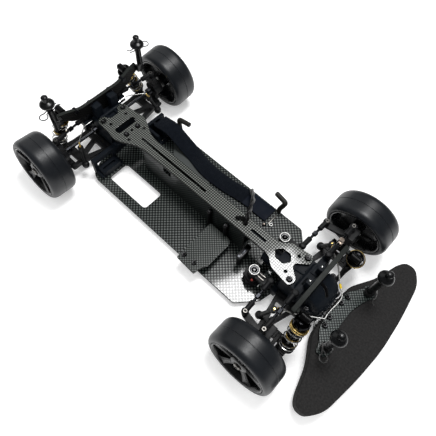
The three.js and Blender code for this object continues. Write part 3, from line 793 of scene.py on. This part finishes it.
def make_shock_rod(end, side):
    """The shaft, the seat under the spring and the lower eye."""
    top, down, length = shock_frame(end, side)
    piece = Piece(f"shock_{end}_{side}_rod", STEEL)
    piece.cylinder(top + down * 18, top + down * (length - 3), SHAFT_RADIUS, 0.2, 16)
    piece.paint(BLACK_PLASTIC)
    piece.turned(top, down, [(length - rise, radius) for rise, radius in SEAT_STEPS], 32)
    bottom = top + down * length
    piece.cylinder(bottom - X * 3.4, bottom + X * 3.4, 3.2, 0.5)
    piece.done(f"shaft_{end}_{side}", slot="bright_steel", replaces=[f"shock_shaft_{end}_{side}"])


def make_coil(end, side):
    """The spring: its turns lie closer at both ends."""
    top, down, length = shock_frame(end, side)
    start, finish = COLLAR_END + COIL_WIRE, length - SPRING_SEAT - COIL_WIRE
    across, up = square_to(down)
    path = []
    for i in range(COIL_STEPS + 1):
        share = i / COIL_STEPS
        angle = 2 * math.pi * COIL_TURNS * share
        rise = share - COIL_END_CLOSING * math.sin(2 * math.pi * share) / (2 * math.pi)
        where = start + (finish - start) * rise
        path.append(top + down * where + COIL_RADIUS * turn(angle, across, up))
    piece = Piece(f"shock_{end}_{side}_coil", STEEL)
    piece.tube(path, COIL_WIRE, 8)
    coil = piece.done(f"shock_{end}_{side}", slot="bright_steel", replaces=[f"spring_{end}_{side}"])
    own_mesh(coil)


# ---------- suspension and steering links ----------


CUP_RADIUS = 3.2
CUP_HEIGHT = 4.6


def ball_cup(piece, middle, open_top):
    """A plastic ball cup, with the steel ball's hollow top showing when it is open."""
    half = CUP_HEIGHT / 2
    cup = [(-half, 0), (-half, CUP_RADIUS * 0.8), (-half * 0.4, CUP_RADIUS), (half * 0.5, CUP_RADIUS),
           (half, CUP_RADIUS * 0.72), (half, 0)]
    piece.turned(middle, Z, eased(cup, 0.3), 24)
    if open_top:
        material = piece.materials[piece.coat]
        piece.paint(DULL_STEEL)
        ball_rim = [(half - 0.3, 0), (half - 0.3, 1.7), (half + 0.2, 1.6), (half + 0.2, 1.15),
                    (half + 0.1, 1.05)]
        piece.turned(middle, Z, ball_rim, 24)
        piece.paint(material)
        bore = [(half - 0.2, 0), (half - 0.2, 1.1), (half + 0.12, 1.1), (half + 0.12, 0)]
        piece.turned(middle, Z, bore, 16)


def turnbuckle(name, body, inner, outer, cup_length, node, nut_material=BLACK_METAL):
    """A left-and-right-threaded rod with a spanner hexagon, screwed into two ball cups."""
    along = (outer - inner).normalized()
    piece = Piece(name, BLACK_PLASTIC)
    for start, direction in ((inner, along), (outer, -along)):
        ball_cup(piece, start, start is outer)
        neck = eased([(2.0, 0), (2.0, 2.3), (cup_length - 1, 2.5), (cup_length, 1.9), (cup_length, 0)], 0.3)
        piece.turned(start, direction, neck, 18)
    length = (outer - inner).length
    piece.paint(BLACK_METAL)
    piece.cylinder(inner + along * (cup_length - 1), outer - along * (cup_length - 1), 1.2, 0.1, 12)
    middle = inner + along * (length / 2)
    piece.paint(nut_material)
    hexagon = [(-2.6, 0), (-2.6, 1.4), (-1.9, 2.3, 6), (1.9, 2.3, 6), (2.6, 1.4), (2.6, 0)]
    piece.turned(middle, along, hexagon, 18)
    piece.done(body, replaces=[node])


UPPER_LINK_OUTER = {"front": (126, 60.5, 51), "rear": (-130, 60.5, 48.5)}


def make_upper_link(end, side):
    """Only the front left link has a tan spanner hexagon."""
    inner = joint_place(f"link_{end}_{side}_swing")
    x, y, z = UPPER_LINK_OUTER[end]
    outer = place(x, y * SIDES[side], z)
    nut_material = TAN_STEEL if (end, side) == ("front", "left") else BLACK_METAL
    turnbuckle(f"upper_link_{end}_{side}_turnbuckle", f"link_{end}_{side}", inner, outer, 12,
               f"upper_link_{end}_{side}", nut_material)


TIE_ROD_INNER = (103.5, 22.3, 37.6)
TIE_ROD_OUTER = (105, 56.4, 37.6)


def make_tie_rod(side):
    inner, outer = (place(x, y * SIDES[side], z) for x, y, z in (TIE_ROD_INNER, TIE_ROD_OUTER))
    turnbuckle(f"tie_rod_{side}_turnbuckle", f"tie_rod_{side}", inner, outer, 11, f"tie_rod_{side}")


BEARING_BOTTOM = 29.9
# Inner radius, outer radius and top of the bearing's two steel rings.
BEARING_RINGS = [(2.75, 3.05, 30.6), (4.0, 4.85, 30.9)]
BEARING_SHIELD = [(BEARING_BOTTOM, 3.1), (BEARING_BOTTOM, 3.95), (30.4, 3.95), (30.4, 3.1)]
# Underside, radius and corners of the servo saver's stacked blocks.
SAVER_STACK = [(9.2, 8.4, 8), (13.4, 9.0, 6), (17.2, 7.4, 8)]
SAVER_BLOCK_HEIGHT = 2.6


def make_bellcrank(side):
    """The moulded crank keeps its shape, and its bearing and screw are added on top."""
    name = f"bellcrank_{side}"
    finished(name, BLACK_PLASTIC, name)
    post = joint_place("steering" if side == "left" else "bellcrank_right_turn")
    foot = Vector((post.x, post.y, 0))
    piece = Piece(f"{name}_bearing", RACE_STEEL)
    for inner, outer, top in BEARING_RINGS:
        race = [(BEARING_BOTTOM, inner), (BEARING_BOTTOM, outer), (top - 0.2, outer), (top, outer - 0.2),
                (top, inner + 0.2), (top - 0.2, inner)]
        piece.turned(foot, Z, race, 40, loop=True)
    piece.paint(BLACK_METAL)
    piece.turned(foot, Z, BEARING_SHIELD, 40, loop=True)
    piece.done(name)
    screw = Piece(f"{name}_screw", GLOSS_BLACK)
    screw.screw(foot + Z * 30.0, 2.6, 2.2)
    screw.done()
    if side == "right":
        make_servo_saver(name, foot)


def make_servo_saver(body, foot):
    """The stack of moulded blocks under the right bellcrank, with two pins and a red dot."""
    piece = Piece(f"{body}_saver", BLACK_PLASTIC)
    for low, radius, corners in SAVER_STACK:
        high = low + SAVER_BLOCK_HEIGHT
        piece.turned(foot, Z, [(low, 0), (low, radius, corners), (high, radius, corners), (high, 0)], 24)
    piece.paint(DULL_STEEL)
    for aside in (-1.6, 1.6):
        start = foot + Vector((5.5, aside, 28.3))
        piece.cylinder(start, start + X * 6.5, 0.75, 0.15, 10)
    piece.paint(RED)
    piece.cylinder(foot + Vector((2.6, -6.4, 24)), foot + Vector((4.6, -6.6, 24)), 1.0, 0.2, 10)
    piece.done(body)


def make_arms():
    for end, side in CORNERS:
        corner = f"{end}_{side}"
        finished(f"lower_arm_{corner}", BLACK_PLASTIC, f"arm_{corner}", ease=0.45)
        make_upper_link(end, side)
        make_damper(end, side)
        make_shock_rod(end, side)
        make_coil(end, side)
    for side in SIDES:
        finished(f"hub_carrier_front_{side}", BLACK_PLASTIC, f"hub_carrier_front_{side}", ease=0.4)
        finished(f"steering_knuckle_{side}", BLACK_PLASTIC, f"knuckle_{side}", ease=0.4)
        finished(f"hub_rear_{side}", BLACK_PLASTIC, f"hub_rear_{side}", ease=0.4)
        finished(f"drive_shaft_rear_{side}", BLACK_METAL, f"drive_shaft_{side}", ease=0.3)
        make_tie_rod(side)
        make_bellcrank(side)


# ---------- body posts ----------


BODY_POSTS = {
    # x, y, foot radius, middle and half height of the thick seat under the body shell
    "front": (171, 31.8, 4.4, 66.8, 4.2),
    "rear": (-134, 52, 3.1, 89.5, 3.4),
}
SEAT_RADIUS = 6.7


def make_body_post(end, side):
    """A post with a stepped foot, a ball-like seat for the shell to rest on and a nub above it."""
    name = f"{end}_body_post_{side}"
    low, high = (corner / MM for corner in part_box(name))
    x, y, foot_radius, seat, half = BODY_POSTS[end]
    foot = place(x, y * SIDES[side], low.z)
    height = high.z - low.z
    seat -= low.z
    piece = Piece(f"{name}_turned", POST_PLASTIC)
    ball = [(seat + half * math.sin(t), SEAT_RADIUS * math.cos(t))
            for t in (math.radians(a) for a in range(-60, 61, 15))]
    profile = [(0, 0), (0, foot_radius), (4.6, foot_radius), (5.4, 3.0), (seat - half - 3, 2.9),
               (seat - half, 3.1), *ball, (seat + half, 2.6), (height - 4, 2.5), (height - 3.5, 3.0),
               (height - 1.2, 3.0), (height - 0.3, 2.2), (height, 1.2), (height, 0)]
    piece.turned(foot, Z, profile, 32)
    if end == "rear":
        edges = sorted((SIDES[side] * (y - 6), SIDES[side] * (y + 1.5)))
        piece.block((-134.2, edges[0], 60.5), (-130.5, edges[1], 68), 0.6)
    piece.done(replaces=[name])


CLIP_HEIGHT = 83.5
CLIP_HEADING = math.radians(80)
CLIP_EYE_RADIUS = 3.6


def make_rear_clip(side):
    """A body clip: a wire with a round eye at its outer end, whose straight leg goes through the post."""
    heading = SIDES[side] * CLIP_HEADING
    along = Vector((math.cos(heading), math.sin(heading), 0))
    aside = Z.cross(along)
    x, y, *_ = BODY_POSTS["rear"]
    centre = place(x, SIDES[side] * y, CLIP_HEIGHT)
    path = [centre - along * 8.5 + aside * 0.2, centre - along * 4, centre, centre + along * 6.5]
    eye = centre + along * 9.6 + aside * 2.6
    for k in range(9):
        path.append(eye + CLIP_EYE_RADIUS * turn(math.radians(-128 + 38 * k), along, aside))
    for ahead, out in ((4.5, 2.6), (-1.0, 3.6), (-6.5, 2.4), (-9.5, 4.4)):
        path.append(centre + along * ahead + aside * out)
    Piece(f"rear_clip_{side}", BLACK_METAL).tube(smooth_path(path, 4), 0.45, 8).done()


LEFT_CLIP_PATH = [(172.5, 36.8, 34), (175.6, 34.2, 34), (177.4, 29.5, 33), (176.6, 27.6, 32),
                  (178.4, 25.4, 30), (180.2, 25.2, 29)]


def make_front_clips():
    """The right clip loops round its post's foot and ends in an eye. The left one is a short hook."""
    loop = place(171.9, -32.1, 34.5)
    eye = place(174.0, -40.7, 34.5)
    away = (eye - loop).normalized()
    aside = Z.cross(away)
    path = []
    for centre, radius, first, last in ((loop, 4.0, 50, 310), (eye, 3.2, 130, -130)):
        for k in range(9):
            angle = math.radians(first + (last - first) * k / 8)
            path.append(centre + radius * turn(angle, away, aside))
    path += [loop + away * 2.5 - aside * 3.8 + Z, loop - away * 2 - aside * 5.6 + Z]
    Piece("front_clip_right", CLIP_WIRE).tube(smooth_path(path, 4), 0.65, 8).done()
    Piece("front_clip_left", CLIP_WIRE).tube(route(LEFT_CLIP_PATH, 5), 0.6, 8).done()


def make_posts():
    for end, side in CORNERS:
        make_body_post(end, side)
    for side in SIDES:
        make_rear_clip(side)
    make_front_clips()


# ---------- battery strap and sway bars ----------

STRAP_WIDTH = 17
STRAP_THICKNESS = 2.2
STRAP_STEPS = 8
STRAP_PATH = [
    (-93, 36, 25.6), (-84, 37, 25.8), (-76, 38.5, 23.5), (-62, 39.8, 14.5), (-47, 39.5, 8.5),
    (-24, 35, 8.5), (2, 35.5, 8.5), (28, 39, 8.5), (57.5, 39.5, 8.5),
]


def make_strap():
    """The strap bows up a little between its edges and lies in soft waves, and its last stretch has
    a smooth pad."""
    centre = route(STRAP_PATH, STRAP_STEPS)
    pad_start = centre[-STRAP_STEPS - 1].x
    steps_across = 8
    rings = []
    length = 0
    for i, point in enumerate(centre):
        length += (point - centre[i - 1]).length if i else 0
        wave = 0.35 * math.sin(length / 9) if 8 < length < 150 else 0
        under, over = [], []
        for k in range(steps_across + 1):
            across = k / steps_across - 0.5
            crown = 0.5 * (1 - (2 * across) ** 2)
            edge = 0.5 * (2 * abs(across)) ** 6
            base = point + Y * across * STRAP_WIDTH
            under.append(base + Z * (edge * 0.5 + max(0, wave)))
            over.append(base + Z * (STRAP_THICKNESS - 0.5 - edge + crown + max(0, wave)))
        rings.append(under + over[::-1])
    piece = Piece("battery_strap_webbing", WEBBING)
    piece.skin(rings)
    piece.paint(STRAP_PAD)
    for face in piece.mesh.faces:
        if face.calc_center_median().x > pad_start:
            face.material_index = piece.coat
    strap = piece.done(replaces=["battery_strap"], sharp=60)


FRONT_SWAY_BAR = [(123.7, -36.3, 42.3), (130, -33.5, 40), (138, -27.5, 35), (145.1, -21.6, 31.2),
                  (155.6, -14.4, 31), (156.4, -13.6, 31), (155.8, -7.2, 31), (156.6, 4.7, 31),
                  (155.7, 12, 31), (148.1, 19.8, 31.2), (137.8, 30.6, 33), (132.7, 33, 36),
                  (123.7, 36.3, 42.3)]
REAR_SWAY_BAR = [(-120.7, 43.6, 40.2), (-127, 35, 40.2), (-132, 27, 39.8), (-132.5, 17, 39)]
# The foot, the top and the bar's end for each end's drop links.
SWAY_LINKS = {
    "front": ((113.7, 44.6, 15.4), (121.4, 39.8, 40.0), (123.7, 36.3, 42.3)),
    "rear": ((-111.7, 49.4, 17.6), (-118.2, 45.2, 34.0), (-120.7, 43.6, 40.2)),
}


def make_sway_bars():
    """Each end's bar joins drop links that stand on the lower arms."""
    wire = Piece("front_sway_bar", RACE_STEEL)
    wire.tube(route(FRONT_SWAY_BAR, 4), 0.65, 10)
    wire.done()
    mark = Piece("sway_bar_mark", YELLOW)
    mark.cylinder(place(148.2, 19.7, 31.2), place(151.2, 16.6, 31.2), 1.1, 0.3, 12)
    mark.done()
    for side, sign in SIDES.items():
        wire = Piece(f"rear_sway_bar_{side}", STEEL)
        wire.tube(route([(x, sign * y, z) for x, y, z in REAR_SWAY_BAR], 4), 0.5, 8)
        wire.done()
    for end, side in CORNERS:
        low, high, stud = (place(x, SIDES[side] * y, z) for x, y, z in SWAY_LINKS[end])
        link = Piece(f"sway_link_{end}_{side}", BLACK_PLASTIC)
        foot = [(-3.4, 0), (-3.4, 2.8), (-1, 3.7), (1.4, 3.7), (3.2, 2.6), (3.2, 0)]
        link.turned(low, Z, eased(foot, 0.5), 24)
        link.cylinder(low, high, 1.9, 0.5, 16)
        link.turned(high, Z, drum(-2.4, 2.2, 2.8), 20)
        link.paint(GOLD)
        link.cylinder(high + Z * 1.6, high + Z * 3.0, 1.0, 0.3, 16)
        link.cylinder(high, stud, 0.9, 0.2, 12)
        link.done(f"arm_{end}_{side}")


# ---------- details of the gear cases and towers ----------

COVER_MIDDLE_X = 133
COVER_MIDDLE_Z = 29
COVER_RADIUS = 19.5
COVER_SCREWS = [(150.8, 11.7, 30.9), (150.8, -11.7, 30.9), (139.9, 19.2, 36), (139.9, -19.2, 36)]


def make_gear_cover_slit():
    """A bowed slit over the round cover, drawn as a black tube: painted shade in the opening, with a thin
    steel wire along most of it as a painted highlight on its edge.
    """
    slit = []
    for k in range(9):
        x = 136.5 + 9.8 * k / 8
        bow = 1.6 * math.sin(math.pi * k / 8)
        height = COVER_MIDDLE_Z + math.sqrt(COVER_RADIUS ** 2 - (x - COVER_MIDDLE_X) ** 2)
        slit.append(place(x, 1.2 - 0.45 * k + bow, height - 0.45))
    # The black, barely reflecting tube paints the shade inside the slit.
    piece = Piece("gear_cover_slit", TIE_PLASTIC)
    piece.tube(slit, 1.5, 10)
    # The thin steel wire along the slit is a painted highlight on its edge.
    piece.paint(DULL_STEEL)
    piece.tube([point + Vector((0, -1.7, 0.3)) for point in slit[3:]], 0.3, 6)
    piece.done()


def make_gear_cover_screws():
    piece = Piece("gear_cover_screws", CASE_PLASTIC)
    for x, y, z in COVER_SCREWS:
        piece.paint(CASE_PLASTIC)
        piece.cylinder(place(x, y, z - 7), place(x, y, z - 1), 3.1, 0.5, 20)
        piece.paint(SCREW_METAL)
        piece.screw(place(x, y, z - 1.2), 2.4, 1.5)
    piece.done()


def make_front_input_joint():
    """The dark joint that shows through the fork, and the covers over it and behind it."""
    piece = Piece("front_input_joint", CASE_PLASTIC)
    piece.cylinder(place(82, 0, 28), place(112, 0, 28), 8.5, 0.8, 28)
    piece.block((96, -11, 40.4), (114, 11, 41.8), 0.3)
    piece.block((60.5, -3.4, 32), (84, 3.4, 41.8), 0.5)
    piece.done()


def make_front_case_ribs():
    """Ribs and blocks behind the front tower, with two small screws and a tan block on its end."""
    piece = Piece("front_case_ribs", CASE_PLASTIC)
    for start, end in (((113, -1.2), (122.6, 0.2)), ((120.6, 3), (122.6, 13)), ((120.6, -3), (122.6, -13))):
        piece.cylinder(place(*start, 42.2), place(*end, 42.2), 0.9, 0.2, 10)
    piece.block((124, 2, 46.6), (129.8, 11.5, 50), 0.5)
    piece.block((124, -11.5, 46.6), (129.8, -2.5, 49), 0.5)
    piece.paint(STEEL)
    for where in pair(128.6, 8, 59):
        piece.screw(where, 0.9, 0.5)
    piece.paint(TAN_STEEL)
    piece.block((124.6, 37, 50.5), (128.8, 41.2, 54.5), 0.6)
    piece.done()


def make_rear_case_ribs():
    piece = Piece("rear_case_ribs", CASE_PLASTIC)
    for sign in SIDES.values():
        right, left = sorted((sign * 4, sign * 6.5))
        piece.block((-125.5, right, 41.6), (-113, left, 44.2), 0.5)
        piece.cylinder(place(-126, sign * 13.5, 42), place(-117, sign * 10.5, 42), 1.2, 0.3, 12)
    piece.cylinder(place(-126, -12, 43), place(-126, 12, 43), 2.0, 0.4, 16)
    piece.done()


def make_rear_tower_bolts():
    piece = Piece("rear_tower_bolts", BLACK_METAL)
    for y, z in ((12, 56.8), (29, 60.2)):
        for start in pair(-139.6, y, z):
            piece.cylinder(start, start + X * 6.5, 2.3, 0.5, 16)
    piece.done()


# ---------- loose trim on the decks ----------

BAR_X = 67.5
TIE_ROUTE = [(25.5, 48.5, 9.5), (30, 43, 18), (39.6, 30.7, 30), (46.7, 16.8, 39), (51.5, 7, 46),
             (55.5, -0.5, 46.4)]
TIE_TAIL = [(55.5, -0.5, 46.4), (51.5, 2.2, 47.0), (48.0, 0.8, 46.8), (45.0, -1.6, 46.4)]
TIE_TWIST = 0.3
BAY_LINER = [(-74, 35.6), (-60, 22.5), (-60, 8.5), (-12, 8.5), (-12, 35.6)]


def make_slotted_bar():
    """A bar with a dark slot along its top, on two posts beside the front of the spine."""
    piece = Piece("slotted_bar", SCREW_METAL)
    piece.block((64.9, -22.6, 26), (70.5, -5.5, 28.2), 0.9)
    piece.paint(BLACK_METAL)
    piece.block((66.3, -17.5, 27.8), (69.1, -6.8, 28.4), 0.3)
    piece.paint(GREY_STEEL)
    piece.screw(place(BAR_X + 0.1, -20.4, 28.2), 1.4, 0.6)
    piece.paint(BLACK_PLASTIC)
    for y in (-18.5, -9):
        piece.cylinder(place(BAR_X, y, DECK_TOP), place(BAR_X, y, 26.2), 2.4, 0.3, 20)
    piece.done()


def make_twisted_tie():
    """Two strands wound round each other from the deck's edge up to the upper deck, and a loose end."""
    piece = Piece("twisted_tie", TIE_PLASTIC)
    centre = route(TIE_ROUTE, 10)
    for phase in (0, math.pi):
        strand = []
        for i, point in enumerate(centre):
            across, up = square_to(direction_at(centre, i))
            strand.append(point + turn(i * TIE_TWIST + phase, across, up))
        piece.tube(strand, 1.3, 8)
    piece.tube(route(TIE_TAIL, 5), 1.7, 8)
    piece.done()


def make_bay_liner():
    """A thin film on the floor of the battery bay."""
    piece = Piece("battery_bay_liner", LINER_FILM)
    piece.skin([[place(x, y, DECK_TOP + rise) for x, y in BAY_LINER] for rise in (0, 0.4)])
    piece.done()


def make_deck_rib():
    # Two thin bright steel strips, one on the lower deck and one by the rear of the battery bay: painted
    # highlights along edges there.
    piece = Piece("edge_highlight_strips", DULL_STEEL)
    piece.block((61.1, 31.7, DECK_TOP), (62.0, 45.3, DECK_TOP + 1.0), 0.1)
    piece.block((-82.7, 27, 11), (-81.9, 36.9, 12), 0.1)
    piece.done()


# ---------- build ----------

make_camera()
make_light()
make_floor()
make_plates()
make_hooks()
make_bumper()
make_screws()
for end, side in CORNERS:
    make_tyre(end, side)
    make_rim(end, side)
make_arms()
make_posts()
make_strap()
make_sway_bars()
make_gear_cover_slit()
make_gear_cover_screws()
make_front_input_joint()
make_front_case_ribs()
make_rear_case_ribs()
make_rear_tower_bolts()
make_slotted_bar()
make_twisted_tie()
make_bay_liner()
make_deck_rib()

SCENE.view_settings.view_transform = "Standard"
